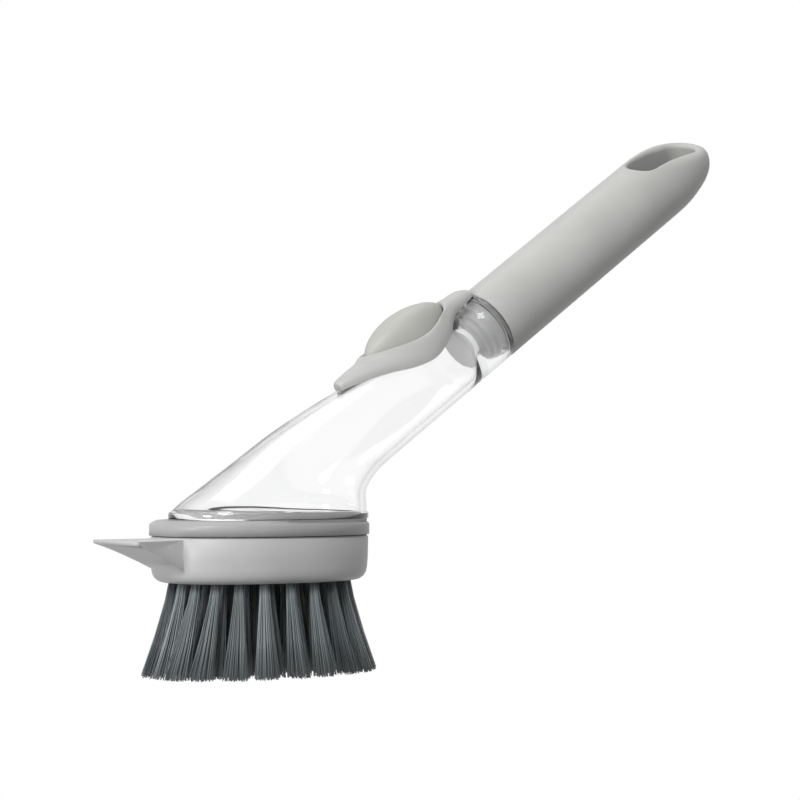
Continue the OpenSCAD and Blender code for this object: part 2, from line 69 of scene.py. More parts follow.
def through(stations, steps):
    """Catmull-Rom curve through the rows of a table, each span a cubic in t from the four rows round it."""
    a = np.asarray(stations, float)
    p = np.vstack([a[:1], a, a[-1:]])
    t = np.arange(steps)[:, None] / steps
    out = []
    for i in range(len(a) - 1):
        b0, b1, b2, b3 = p[i], p[i + 1], p[i + 2], p[i + 3]
        out.append(0.5 * (2 * b1 + (b2 - b0) * t + (2 * b0 - 5 * b1 + 4 * b2 - b3) * t ** 2
                          + (3 * b1 - b0 - 3 * b2 + b3) * t ** 3))
    return np.vstack(out + [a[-1:]])


def smooth_piece(name, mesh, sharp=None):
    """Object of a mesh, smooth but for edges whose faces turn by more than the sharp angle in degrees."""
    mesh.shade_smooth()
    if sharp is not None:
        mesh.set_sharp_from_angle(angle=math.radians(sharp))
    piece = bpy.data.objects.new(name, mesh)
    bpy.context.scene.collection.objects.link(piece)
    return piece


def skin(name, grids, sharp):
    """One solid of quads over grids of points in millimetres. Two flags with each grid say if its last row
    joins its first, and if its last column does. Doubles are merged, so that grids meet and a row that
    shrinks to a point closes there, and faces are turned outwards."""
    points, faces, start = [], [], 0
    for grid, turn_rows, turn_columns in grids:
        rows, columns = grid.shape[:2]
        i = np.arange(rows if turn_rows else rows - 1)[:, None]
        j = np.arange(columns if turn_columns else columns - 1)[None, :]
        i2, j2 = (i + 1) % rows, (j + 1) % columns
        corners = (i * columns + j, i * columns + j2, i2 * columns + j2, i2 * columns + j)
        quads = np.stack(np.broadcast_arrays(*corners), -1).reshape(-1, 4) + start
        points.append(grid.reshape(-1, 3))
        faces += quads.tolist()
        start += rows * columns
    mesh = bpy.data.meshes.new(name)
    mesh.from_pydata((np.vstack(points) * MM).tolist(), [], faces)
    made = bmesh.new()
    made.from_mesh(mesh)
    bmesh.ops.remove_doubles(made, verts=made.verts, dist=MERGE)
    bmesh.ops.dissolve_degenerate(made, edges=made.edges, dist=SLIVER)
    bmesh.ops.recalc_face_normals(made, faces=made.faces)
    made.to_mesh(mesh)
    made.free()
    return smooth_piece(name, mesh, sharp)


def dress(piece, material, body, slot, *nodes):
    """Gives a piece its material, its body and the CAD nodes that it stands for."""
    piece.data.materials.clear()
    piece.data.materials.append(material)
    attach(piece, body)
    if nodes:
        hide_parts(*nodes)
    return piece


# Foot: the plate's deck, the foot's lower edge and height, and its oval in plan
DECK_Z, FOOT_Z, FOOT_H = 51.2, 51.4, 2.2
FOOT_L, FOOT_W, FOOT_SHIFT = 70.6, 49.0, 3.4
FOOT_FRONT, FOOT_BACK = FOOT_SHIFT - FOOT_L / 2, FOOT_SHIFT + FOOT_L / 2
FOOT_TOP = FOOT_Z + FOOT_H
# Neck: its length and bore, the bore's widening at its lower end, the seal's ledge and the seam to the grip
NECK_L, NECK_BORE_R = 22.0, 10.2
WIDEN_START, WIDEN_L = 1.0, 9.0
SEAL_T, SEAL_LEDGE, SEAM = 1.6, 1.2, 0.3
# Belly: its rise over the tube, where its curve gives way to a straight line, its share of the rise there,
# how high over the deck the line ends, and how far the heel under the tube stands out over the foot
BELLY_RISE, RISE_END, BELLY_SHARE = 5.0, -76.0, 0.72
BELLY_END_H, HEEL_OUT = 10, 2.4


def top_u(s):
    """Tube radius, plus the belly's rise and share times the square of how far below the neck it is."""
    return TUBE_R + BELLY_RISE * BELLY_SHARE * (np.maximum(0, -s - NECK_L) / (-RISE_END - NECK_L)) ** 2


def flat_place(s, u):
    """X and Z of a place on the tube's middle plane."""
    return [float(v) for v in on_tube(np.float64(s), np.float64(u), np.float64(0))[[0, 2]]]


belly_u = TUBE_R + BELLY_RISE
belly_end_s = (DECK_Z + BELLY_END_H - RIM[2] - belly_u * math.cos(TILT)) / math.sin(TILT)
heel_s = (FOOT_BACK + HEEL_OUT - RIM[0] - TUBE_R * math.sin(TILT)) / math.cos(TILT)
heel_z = flat_place(heel_s, -TUBE_R)[1]


def belly(share):
    """X and Z of the belly's straight front line, at a share of its way down."""
    return flat_place(RISE_END + (belly_end_s - RISE_END) * share, belly_u)


# Each row holds X and Z of a front place and of a back place, the half width, and how square the oval is
body_stations = [
    flat_place(0.5 - NECK_L, TUBE_R) + flat_place(0.5 - NECK_L, -TUBE_R) + [TUBE_R, 2],
    flat_place(-30, top_u(-30)) + flat_place(-30, -TUBE_R) + [TUBE_R, 2],
    flat_place(-45, top_u(-45)) + flat_place(-45, -TUBE_R) + [TUBE_R, 2],
    flat_place(-60, top_u(-60)) + flat_place(heel_s + 16, -TUBE_R) + [TUBE_R + 0.2, 2],
    flat_place(RISE_END, top_u(RISE_END)) + flat_place(heel_s + 7.5, -TUBE_R) + [TUBE_R + 1.4, 2.02],
    belly(0.35) + flat_place(heel_s + 3, -TUBE_R) + [TUBE_R + (FOOT_W / 2 - TUBE_R) * 0.36, 2.05],
    belly(0.7) + [FOOT_BACK + 0.9, heel_z - 2.2] + [TUBE_R + (FOOT_W / 2 - TUBE_R) * 0.62, 2.1],
    belly(1) + [FOOT_BACK - 0.9, DECK_Z + 8.6] + [TUBE_R + (FOOT_W / 2 - TUBE_R) * 0.82, 2.2],
    [FOOT_FRONT + 4.2, DECK_Z + 5.4, FOOT_BACK - 0.8, DECK_Z + 4.8, FOOT_W / 2 - 0.9, OVAL_POWER],
    [FOOT_FRONT + 0.9, FOOT_TOP + 0.3, FOOT_BACK - 0.7, FOOT_TOP + 0.3, FOOT_W / 2 - 0.7, OVAL_POWER]]
ROUND_STEPS, SPAN_STEPS = 120, 6
ROUND = np.linspace(0, 2 * math.pi, ROUND_STEPS, endpoint=False)


def tube_rings(rows, wall):
    """Rings between each row's front and back, drawn in by the wall: middle plus half-axis times the oval."""
    f = np.stack([rows[:, 0], 0 * rows[:, 0], rows[:, 1]], -1)[:, None]
    b = np.stack([rows[:, 2], 0 * rows[:, 0], rows[:, 3]], -1)[:, None]
    half = (f - b) / 2
    keep = 1 - wall / np.linalg.norm(half, axis=-1, keepdims=True)
    cx, sy = rounded(ROUND[None], rows[:, 5:6])
    return (f + b) / 2 + half * keep * cx[..., None] + ((rows[:, 4:5] - wall) * sy)[..., None] * ACROSS


def neck_rings(stations):
    """Round rings on the tube's axis from rows of distance and radius."""
    s, r = np.array(stations, float).T[:, :, None]
    return on_tube(s + 0 * ROUND, r * np.cos(ROUND), r * np.sin(ROUND))


def foot_rings(stations):
    """Level ovals from rows of inset and height, in the foot's place."""
    inset, z = np.array(stations, float).T[:, :, None]
    cx, sy = rounded(ROUND[None], OVAL_POWER)
    x = FOOT_SHIFT - (FOOT_L / 2 - inset) * cx
    return np.stack([x, (FOOT_W / 2 - inset) * sy, z + 0 * x], -1)


body_rows = through(body_stations, SPAN_STEPS)
widen = np.linspace(0, 1, 10)
widen_r = (TUBE_R - WALL - NECK_BORE_R) * (0.5 + 0.5 * np.cos(math.pi * widen))
widening = np.stack([-NECK_L + WIDEN_START + WIDEN_L * widen, NECK_BORE_R + widen_r], -1)
tube_points = np.concatenate([
    neck_rings([[-SEAM - 0.35, TUBE_R - 1.15], [-SEAM - 0.02, TUBE_R - 0.8], [-SEAM, TUBE_R - 0.45],
                [-SEAM - 0.12, TUBE_R - 0.13], [-SEAM - 0.45, TUBE_R], [-8, TUBE_R], [-15, TUBE_R]]),
    tube_rings(body_rows, 0),
    foot_rings([[0.35, FOOT_TOP + 0.1], [0.08, FOOT_TOP - 0.25], [0, FOOT_TOP - 0.6],
                [0, FOOT_Z + 0.4], [0.12, FOOT_Z + 0.1], [0.4, FOOT_Z], [2.0, FOOT_Z], [2.4, FOOT_Z + 0.3]]),
    tube_rings(body_rows[::-1], WALL),
    neck_rings(widening),
    neck_rings([[-SEAL_T - 0.42, NECK_BORE_R], [-SEAL_T - 0.4, NECK_BORE_R + 0.02],
                [-SEAL_T - 0.4, NECK_BORE_R + SEAL_LEDGE], [-SEAL_T, NECK_BORE_R + SEAL_LEDGE]])])


def colour_ramp(nodes, low, high, start=0.0, end=1.0):
    """Ramp node that runs from one colour at its start to another at its end."""
    made = nodes.new("ShaderNodeValToRGB")
    for stop, colour, position in zip(made.color_ramp.elements, (low, high), (start, end)):
        stop.color = [*colour, 1]
        stop.position = position
    return made


# Clear plastic: a slight ripple from blowing, painted shade darkening its colour edge on, and a faint grey in
# its depth
clear = bpy.data.materials.new("clear_plastic")
clear.use_nodes = True
nodes, links = clear.node_tree.nodes, clear.node_tree.links
clear_shader = nodes["Principled BSDF"]
clear_shader.inputs["Roughness"].default_value = 0.02
clear_shader.inputs["IOR"].default_value = 1.47
clear_shader.inputs["Transmission Weight"].default_value = 1.0
place = nodes.new("ShaderNodeTexCoord")
ripple = nodes.new("ShaderNodeTexNoise")
ripple.inputs["Scale"].default_value = 55
ripple.inputs["Detail"].default_value = 1
swell = nodes.new("ShaderNodeBump")
swell.inputs["Strength"].default_value = 0.12
swell.inputs["Distance"].default_value = 0.0012
links.new(place.outputs["Object"], ripple.inputs["Vector"])
links.new(ripple.outputs["Fac"], swell.inputs["Height"])
links.new(swell.outputs["Normal"], clear_shader.inputs["Normal"])
# Painted shade: the colour goes from near white face on to near black where the skin is seen edge on
slant = nodes.new("ShaderNodeLayerWeight")
slant.inputs["Blend"].default_value = 0.3
painted_edge_shade = colour_ramp(nodes, (0.99, 0.99, 0.99), (0.03, 0.03, 0.03), 0.35, 0.86)
links.new(slant.outputs["Facing"], painted_edge_shade.inputs["Fac"])
links.new(painted_edge_shade.outputs["Color"], clear_shader.inputs["Base Color"])
depth = nodes.new("ShaderNodeVolumeAbsorption")
depth.inputs["Color"].default_value = (0.72, 0.74, 0.75, 1)
depth.inputs["Density"].default_value = 22
links.new(depth.outputs["Volume"], nodes["Material Output"].inputs["Volume"])
clear_tube = skin("clear_tube", [(tube_points, True, True)], sharp=50)
dress(clear_tube, clear, "wand", "clear_tube", "reservoir")


# The grip is a soft-touch skin moulded over a rigid core, and ends in a flattened loop with a hang hole.
# The hole's rim is rolled over all round, so that it doesn't cut the hand or the hook.
GLOSS_DRIFT = 0.05


def moulded(name, colour, roughness, grain=0.00006, grain_scale=2600, shade=0.06):
    """Plastic whose colour drifts a little over a wide noise and whose surface has a fine moulded grain."""
    made = bpy.data.materials.new(name)
    made.use_nodes = True
    nodes, links = made.node_tree.nodes, made.node_tree.links
    shader = nodes["Principled BSDF"]
    place = nodes.new("ShaderNodeTexCoord")
    drift = nodes.new("ShaderNodeTexNoise")
    drift.inputs["Scale"].default_value = 38
    drift.inputs["Detail"].default_value = 3
    darker, lighter = [c * (1 - shade) for c in colour], [min(1, c * (1 + shade)) for c in colour]
    tint = colour_ramp(nodes, darker, lighter, 0.3, 0.7)
    speck = nodes.new("ShaderNodeTexNoise")
    speck.inputs["Scale"].default_value = grain_scale
    speck.inputs["Detail"].default_value = 2
    gloss = nodes.new("ShaderNodeMapRange")
    gloss.inputs["To Min"].default_value = roughness - GLOSS_DRIFT
    gloss.inputs["To Max"].default_value = roughness + GLOSS_DRIFT
    bumps = nodes.new("ShaderNodeBump")
    bumps.inputs["Strength"].default_value = 0.35
    bumps.inputs["Distance"].default_value = grain
    links.new(place.outputs["Object"], drift.inputs["Vector"])
    links.new(place.outputs["Object"], speck.inputs["Vector"])
    links.new(drift.outputs["Fac"], tint.inputs["Fac"])
    links.new(tint.outputs["Color"], shader.inputs["Base Color"])
    links.new(drift.outputs["Fac"], gloss.inputs["Value"])
    links.new(gloss.outputs["Result"], shader.inputs["Roughness"])
    links.new(speck.outputs["Fac"], bumps.inputs["Height"])
    links.new(bumps.outputs["Normal"], shader.inputs["Normal"])
    return made


def finish_node(name, material):
    """Puts a material on a CAD node that is shown as it is."""
    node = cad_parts[name]
    if not node.material_slots:
        node.data.materials.append(material)
    for held in node.material_slots:
        held.material = material


def walk(line, count):
    """Points at even distances along a line of points."""
    step = np.concatenate([[0], np.cumsum(np.linalg.norm(np.diff(line, axis=0), axis=1))])
    at = np.linspace(0, step[-1], count)
    return np.stack([np.interp(at, step, line[:, k]) for k in range(line.shape[1])], -1)


GRIP_R, GRIP_L = TUBE_R, 126.0
# The round shaft ends and the loop begins at LOOP_S
LOOP_S = 78.0
# Each row holds a distance up the grip, then its top, underside and half width as shares of the radius
grip_stations = [
    [70, 1, 1, 1], [82, 1, 1, 1], [94, 1, 1, 1], [100, 1, 1, 0.995], [106, 1, 0.98, 0.98],
    [112, 0.97, 0.9, 0.93], [117, 0.87, 0.78, 0.86], [121, 0.7, 0.63, 0.73], [124, 0.5, 0.44, 0.53],
    [125.5, 0.31, 0.24, 0.3], [GRIP_L - 0.02, 0.02, -0.02, 0.0]]
grip_rows = through(grip_stations, 8)


def grip_shape(s):
    """Middle height, half height and half width of the grip's section, read off its table."""
    top, under, half = [np.interp(s, grip_rows[:, 0], grip_rows[:, k]) * GRIP_R for k in (1, 2, 3)]
    return (top - under) / 2, (top + under) / 2, half


# The loop is turned a little about the grip's axis, and its upper face is a flat that slopes down to the end
END_TURN = math.radians(20)
FLAT_START, FLAT_SLOPE, FLAT_BLEND = 94.6, 0.34, 3.0


def on_turned_grip(s, p, w):
    """Place on the grip, whose end is turned about its axis: p is up the hang hole and w is across it."""
    c, n = math.cos(END_TURN), math.sin(END_TURN)
    return on_tube(s, p * c + w * n, w * c - p * n)


def soft_least(a, b, blend):
    """Lesser of two heights, less a quarter of the blend times the square of how near they are."""
    near = np.maximum(blend - np.abs(a - b), 0) / blend
    return np.minimum(a, b) - near * near * blend / 4


HANG_S, HANG_L, HANG_W, HANG_LIP = 106.0, 32.0, 13.0, 1.9
# Degrees about the slot's front end where its outline is split between the shaft's edge and the loop's sides
SLOT_SPLIT = 128
front_count, side_count, wall_count = 36, 84, 4
turn = np.linspace(math.pi, 0, front_count)
front_line = np.stack([np.full(front_count, LOOP_S), GRIP_R * np.cos(turn)], -1)
side_s = grip_rows[grip_rows[:, 0] > LOOP_S, 0]
side_s = np.concatenate([[LOOP_S], side_s])
side_line = walk(np.stack([side_s, grip_shape(side_s)[2]], -1), side_count)
outer_line = np.vstack([front_line, side_line[1:], (side_line[::-1] * [1, -1])[1:-1]])


def slot_arc(end, first, last, count):
    """Points of a round end of the slot, -1 for its front and 1 for its far one, between two angles."""
    arc = np.linspace(first, last, count)
    middle_s = HANG_S + end * (HANG_L - HANG_W) / 2
    return np.stack([middle_s + HANG_W / 2 * np.cos(arc), HANG_W / 2 * np.sin(arc)], -1)


slot_front = slot_arc(-1, math.radians(SLOT_SPLIT), math.pi / 2, 12)
slot_end = slot_arc(1, math.pi / 2, 0, 24)
slot_side = walk(np.vstack([slot_front, slot_end]), side_count)
slot_line = slot_arc(-1, -math.radians(SLOT_SPLIT), -math.radians(360 - SLOT_SPLIT), front_count)
inner_line = np.vstack([slot_line, slot_side[1:], (slot_side[::-1] * [1, -1])[1:-1]])


def sheet_between(inner, outer, lip, lip_steps, steps):
    """Plan points on straight lines from an inner outline to an outer one. The first are crowded over the
    lip's width as a cosine and the rest spread as a sine, so that the outer edge can turn down. Returns the
    points and the distance of each from the inner outline."""
    span = outer - inner
    length = np.linalg.norm(span, axis=1)[:, None]
    near = lip * (1 - np.cos(np.linspace(0, math.pi / 2, lip_steps)))[None]
    far = lip + (length - lip) * np.sin(np.linspace(0, math.pi / 2, steps))[None, 1:]
    away = np.concatenate([near + 0 * length, far], axis=1)
    return inner[:, None] + span[:, None] * (away / length)[..., None], away


def lip_drop(away, lip):
    """Depth of a quarter-round lip: its radius, less the root of radius squared less inside squared."""
    inside = np.clip(lip - away, 0, lip)
    return lip - np.sqrt(np.maximum(0, lip * lip - inside * inside))


plan, away = sheet_between(inner_line, outer_line, HANG_LIP, lip_steps=7, steps=16)
middle, half_height, half_width = grip_shape(plan[..., 0])
arch = np.sqrt(np.clip(1 - (plan[..., 1] / np.maximum(half_width, 1e-6)) ** 2, 0, 1))
flat = GRIP_R - FLAT_SLOPE * (plan[..., 0] - FLAT_START)
upper = soft_least(middle + half_height * arch, flat, FLAT_BLEND) - lip_drop(away, HANG_LIP)
lower = middle - half_height * arch + lip_drop(away, HANG_LIP)
share = np.linspace(0, 1, wall_count + 2)[None, 1:-1]
wall_u = upper[:, :1] * (1 - share) + lower[:, :1] * share
plan_wall = np.repeat(plan[:, :1], wall_count, axis=1)
loop_plan = np.concatenate([plan[:, ::-1], plan_wall, plan], axis=1)
loop_u = np.concatenate([upper[:, ::-1], wall_u, lower], axis=1)
loop_points = on_turned_grip(loop_plan[..., 0], loop_u, loop_plan[..., 1])
# Round shaft, in rows of distance and radius: the core's bore, the recess in the mouth, and the outside.
# Its last ring has the same places as the loop's front edge.
BORE_R, BORE_END = 11.8, 84.15
RECESS_R, RECESS_L = 12.5, 2.15
ring_angle = np.concatenate([turn, -turn[::-1][1:-1]])
bore = [[BORE_END, 0], [BORE_END, BORE_R], [60, BORE_R], [30, BORE_R], [RECESS_L, BORE_R]]
mouth = [[RECESS_L, RECESS_R], [0.05, RECESS_R], [0, 12.6], [0, 13.3], [0.08, 13.6], [0.3, 13.86],
         [0.9, GRIP_R]]
rings = np.array(bore + mouth + [[s, GRIP_R] for s in (10, 20, 32, 44, 56, 68, LOOP_S)])
shaft_points = on_turned_grip(rings[:, :1] + 0 * ring_angle, rings[:, 1:] * np.sin(ring_angle),
                              rings[:, 1:] * np.cos(ring_angle))

soft_grip = skin("soft_grip", [(shaft_points, False, True), (loop_points, True, False)], sharp=35)
grip_finish = moulded("soft_touch_grip", (0.5, 0.5, 0.485), 0.5, grain=0.00005, grain_scale=3200)
dress(soft_grip, grip_finish, "handle", "grip_soft", "grip_sleeve")

# The core is the rigid inner tube of the handle, with the threaded spigot that screws into the clear neck.
# A white cap closes the spigot, and a rubber ring seals the handle against the neck's end.
finish_node("handle_core", moulded("core_plastic", (0.45, 0.45, 0.45), 0.34))
finish_node("spigot_plug", moulded("cap_plastic", (0.93, 0.93, 0.93), 0.4))
rubber = moulded("seal_rubber", (0.3, 0.3, 0.3), 0.6, shade=0.15)
finish_node("neck_seal", rubber)

# The bezel is a light trim clipped over the tube round the button, with a strip to the neck and a blunt tail.
# Its inner edge rolls up into a soft crest that the button nests in.
BUTTON_S, BUTTON_L, BUTTON_W, BUTTON_TOP = -31.4, 36.0, 17.0, 25.0
EGG = 0.2
BEZEL_W, BEZEL_TOP = 24.4, 18.4
BEZEL_START, TAIL_S = -0.6, BUTTON_S - BUTTON_L / 2 - 16
# Gaps round the button and over the tube, how high the outer edge stands over the tube, and the least wall
BUTTON_GAP, TUBE_GAP, EDGE_H, LEAST_T = 0.3, 0.3, 1.0, 0.2
# The crest: radius of its lip, place and spread of its ridge, its height at the neck and what it gains round
# the button, and where and over what length it gains that
CREST_R, CREST_AT, CREST_SPREAD = 1.3, 0.6, 1.5
CREST_LOW, CREST_GAIN, GAIN_S, GAIN_L = 0.3, 1.0, -19, 2
# Each row holds a distance, the trim's half width and the height of its ridge
bezel_rows = through([
    [BEZEL_START, 4.4, BEZEL_TOP - 2.2], [-4, 4.8, BEZEL_TOP - 0.8], [-10, 5.4, BEZEL_TOP - 0.3],
    [-15.5, BEZEL_W * 0.32, BEZEL_TOP], [-21, BEZEL_W * 0.43, BEZEL_TOP + 0.2],
    [-31, BEZEL_W * 0.5, BEZEL_TOP + 0.3], [-41, BEZEL_W * 0.455, BEZEL_TOP + 0.7],
    [-49, BEZEL_W * 0.345, BEZEL_TOP + 1.2], [-57, BEZEL_W * 0.225, BEZEL_TOP + 1.5],
    [TAIL_S + 2.6, BEZEL_W * 0.14, BEZEL_TOP + 1.5], [TAIL_S + 0.5, BEZEL_W * 0.1, BEZEL_TOP + 1.1],
    [TAIL_S, BEZEL_W * 0.08, BEZEL_TOP + 0.4]], 8)[::-1]


def tube_top(s, y):
    """Height of the tube's upper skin over a place in plan, whose section is a circle that grows slowly."""
    mean = (top_u(s) + TUBE_R) / 2
    return mean - TUBE_R + mean * np.sqrt(np.clip(1 - (y / TUBE_R) ** 2, 0, 1))


def bezel_height(s, y):
    """Arch across the trim: edge, plus the ridge's rise over it times the root of 1 - (y / half) squared."""
    half = np.interp(s, bezel_rows[:, 0], bezel_rows[:, 1])
    ridge = np.interp(s, bezel_rows[:, 0], bezel_rows[:, 2])
    edge = tube_top(s, half) + EDGE_H
    return edge + (ridge - edge) * np.sqrt(np.clip(1 - (y / half) ** 2, 0, 1))


def egg_line(angle, grow):
    """Outline of the button, an ellipse whose half width swells by EGG times the cosine of the angle."""
    return np.stack([BUTTON_S + (BUTTON_L / 2 + grow) * np.cos(angle),
                     (BUTTON_W / 2 + grow) * np.sin(angle) * (1 + EGG * np.cos(angle)) / (1 + EGG * EGG)], -1)


edge_count = 140
half_outline = walk(np.vstack([[[BEZEL_START, 0.0]], bezel_rows[::-1, :2], [[TAIL_S, 0.0]]]), edge_count)
half_egg = walk(egg_line(np.linspace(0, math.pi, 400), BUTTON_GAP), edge_count)
trim_outer = np.vstack([half_outline, (half_outline[::-1] * [1, -1])[1:-1]])
trim_inner = np.vstack([half_egg, (half_egg[::-1] * [1, -1])[1:-1]])
trim_plan, trim_away = sheet_between(trim_inner, trim_outer, CREST_R, lip_steps=8, steps=14)
# The crest's height grows away from the neck as an S-curve, and falls away on both sides as a bell curve
crest_h = CREST_LOW + CREST_GAIN / (1 + np.exp((trim_plan[..., 0] - GAIN_S) / GAIN_L))
crest = crest_h * np.exp(-((trim_away - CREST_R - CREST_AT) / CREST_SPREAD) ** 2)
trim_top = bezel_height(trim_plan[..., 0], trim_plan[..., 1]) + crest - lip_drop(trim_away, CREST_R)
trim_under = tube_top(trim_plan[..., 0], trim_plan[..., 1]) + TUBE_GAP
both_plan = np.concatenate([trim_plan, trim_plan[:, ::-1]], axis=1)
both_u = np.concatenate([np.maximum(trim_top, trim_under + LEAST_T), trim_under[:, ::-1]], axis=1)
trim = skin("button_trim", [(on_tube(both_plan[..., 0], both_u, both_plan[..., 1]), True, True)], sharp=45)
trim_finish = moulded("trim_plastic", (0.47, 0.47, 0.46), 0.42)
dress(trim, trim_finish, "wand", "bezel_grey", "button_bezel")
seat_finish = moulded("seat_plastic", (0.5, 0.5, 0.5), 0.45)
finish_node("button_seat", seat_finish)

# The button is a hollow silicone dome, soft enough to be dented by the thumb.
# Its flange is held between the seat in the tube's window and the trim.
# Its wall, the depth of its skirt, and how far its rim is sunk in the trim; then its crown and its section
BUTTON_WALL, BUTTON_SKIRT, BUTTON_SINK = 1.6, 0.9, 0.5
CROWN_CURVE, CROWN_SHIFT = 0.0075, 3.0
DOME_FLAT, DOME_EDGE = 3.8, 0.48
dome_columns = 112
dome_angle = -np.linspace(0, 2 * math.pi, dome_columns, endpoint=False)
dome_share = np.concatenate([[1, 0.996, 0.985, 0.965, 0.94, 0.9], np.linspace(0.85, 0.0, 16)])


def dome_height(angle, share, grow, drop):
    """Rim height, plus the crown's rise times (1 - share to the DOME_FLAT) to the DOME_EDGE, less the drop.
    Lengthways the crown falls by CROWN_CURVE times the square of the distance from its highest place."""
    edge = egg_line(angle, grow)
    place = BUTTON_S + (edge[..., 0] - BUTTON_S) * share
    base = bezel_height(edge[..., 0], edge[..., 1]) - BUTTON_SINK
    crown = BUTTON_TOP - CROWN_CURVE * (place - BUTTON_S + CROWN_SHIFT) ** 2
    return base + (crown - base) * np.maximum(0, 1 - share ** DOME_FLAT) ** DOME_EDGE - drop


def dome_rings(shares, grow, drop, skirt):
    """Rings of the dome from its rim inwards, after one ring for the lower edge of its skirt."""
    a, t = dome_angle[None], np.asarray(shares)[:, None]
    edge = egg_line(a, grow)
    plan = [BUTTON_S, 0] + (edge - [BUTTON_S, 0]) * t[..., None]
    u = dome_height(a, t, grow, drop)
    grid = on_tube(plan[..., 0], u, plan[..., 1])
    low = on_tube(plan[:1, :, 0], u[:1] - skirt, plan[:1, :, 1])
    return np.concatenate([low, grid])


dome_points = np.concatenate([dome_rings(dome_share, -BUTTON_WALL, BUTTON_WALL, 0.0)[::-1],
                              dome_rings(dome_share, 0, 0, BUTTON_SKIRT)])
dome = skin("soft_button", [(dome_points, False, True)], sharp=50)
dome_finish = moulded("button_silicone", (0.46, 0.465, 0.435), 0.5, grain=0.00003, grain_scale=2200)
dress(dome, dome_finish, "button", "button_soft", "pump_button")


# The coupling plate closes the tube's foot and carries the head, in a darker grey than the head's.
# A slit valve in it, held by a ring, lets soap through when the button is pumped.
def even_copy(name, node, sharp):
    """Copy of a CAD node with its doubles merged and its faces shaded smooth up to an angle in degrees."""
    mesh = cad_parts[node].data.copy()
    mesh.materials.clear()
    made = bmesh.new()
    made.from_mesh(mesh)
    bmesh.ops.remove_doubles(made, verts=made.verts, dist=MERGE)
    made.to_mesh(mesh)
    made.free()
    mesh.name = name
    return smooth_piece(name, mesh, sharp)


band = even_copy("coupling_band", "coupling_plate", 30)
plate_finish = moulded("coupling_plastic", (0.37, 0.37, 0.37), 0.4)
dress(band, plate_finish, "wand", "coupling_grey", "coupling_plate")
finish_node("base_gasket", moulded("gasket_rubber", (0.55, 0.55, 0.55), 0.6))
finish_node("outlet_o_ring", rubber)
finish_node("valve_retainer", seat_finish)
finish_node("dispensing_valve", moulded("valve_silicone", (0.7, 0.7, 0.7), 0.45))

# The head is a light grey moulding with rounded lower edges, and its nose is drawn out into a scraper blade.
# The tuft plate is set in its underside, with a wire anchor over each tuft.
brush_head = even_copy("brush_head", "head_shell", 32)
head_finish = moulded("head_plastic", (0.49, 0.485, 0.485), 0.45)
dress(brush_head, head_finish, "head", "head_grey", "head_shell")
finish_node("tuft_plate", moulded("tuft_plate_plastic", (0.58, 0.58, 0.58), 0.5))
finish_node("tuft_anchors", moulded("anchor_wire", (0.6, 0.6, 0.6), 0.3))

# The bristles are tufts of fine nylon, folded over wire anchors in the tuft plate and trimmed to one level.
# They splay outwards over the whole field, and each tuft opens like a fan towards its tips.
rng = np.random.default_rng(5)
SLICE_Z, ROOT_GAP = 34.7, 0.3
# Oval field of the tufts: the head's length and width, less the plate's inset and a bare rim on each side
HEAD_L, HEAD_W, PLATE_INSET, END_RIM, SIDE_RIM = 77.7, 52.5, 5.1, 3.1, 2.3
FIELD_L, FIELD_W = HEAD_L - 2 * (PLATE_INSET + END_RIM), HEAD_W - 2 * (PLATE_INSET + SIDE_RIM)
FIELD_POWER = 2.1
# Rings of tufts: how many and at what share of the field
TUFT_RINGS = ((22, 1.0), (16, 0.72), (8, 0.42))
# A tuft's strands and its radius at the root; how far the field and each tuft open, and stray, at the tips
PER_TUFT, CLUSTER_R = 84, 1.15
FIELD_SPREAD, TUFT_SPREAD = np.array([1.27, 1.29]), 3.6
STRAND_STRAY, TUFT_STRAY = 0.3, 0.8
TIP_LIMIT = np.array([42.6, 27.5])
STRAND_R_LEAST, STRAND_R_MOST = 0.13, 0.17
TIP_UNEVEN, BEND = 0.9, 1.25
TONE_STRANDS, TONE_TUFTS = 0.22, 0.14
GOLDEN_ANGLE = 2.399963

tufts = []
for count, share in TUFT_RINGS:
    cx, sy = rounded((np.arange(count) + 0.5) * 2 * math.pi / count, FIELD_POWER)
    tufts.append(np.stack([FIELD_L / 2 * share * cx, FIELD_W / 2 * share * sy], -1))
tufts = np.vstack(tufts)
# Strands fill a disc as a sunflower's seeds do: the root of the number outwards, the golden angle round
number = np.arange(PER_TUFT)
seed_angle = number * GOLDEN_ANGLE
disc = np.sqrt((number + 0.5) / PER_TUFT)[:, None] * np.stack([np.cos(seed_angle), np.sin(seed_angle)], -1)
root = (tufts[:, None] + disc[None] * CLUSTER_R).reshape(-1, 2)
tip_disc = disc[None] * CLUSTER_R * TUFT_SPREAD + rng.normal(0, STRAND_STRAY, (len(tufts), PER_TUFT, 2))
tip_disc = tip_disc + rng.normal(0, TUFT_STRAY, (len(tufts), 1, 2))
tip = (tufts[:, None] * FIELD_SPREAD + tip_disc).reshape(-1, 2)
tip = tip / np.maximum(1, np.linalg.norm(tip / TIP_LIMIT, axis=1))[:, None]
strand_r = rng.uniform(STRAND_R_LEAST, STRAND_R_MOST, len(root))
tip_z = rng.uniform(0.0, TIP_UNEVEN, len(root)) ** 2
strand_tone = rng.normal(0.5, TONE_STRANDS, len(root))
tone = np.clip(strand_tone + np.repeat(rng.normal(0, TONE_TUFTS, len(tufts)), PER_TUFT), 0, 1)
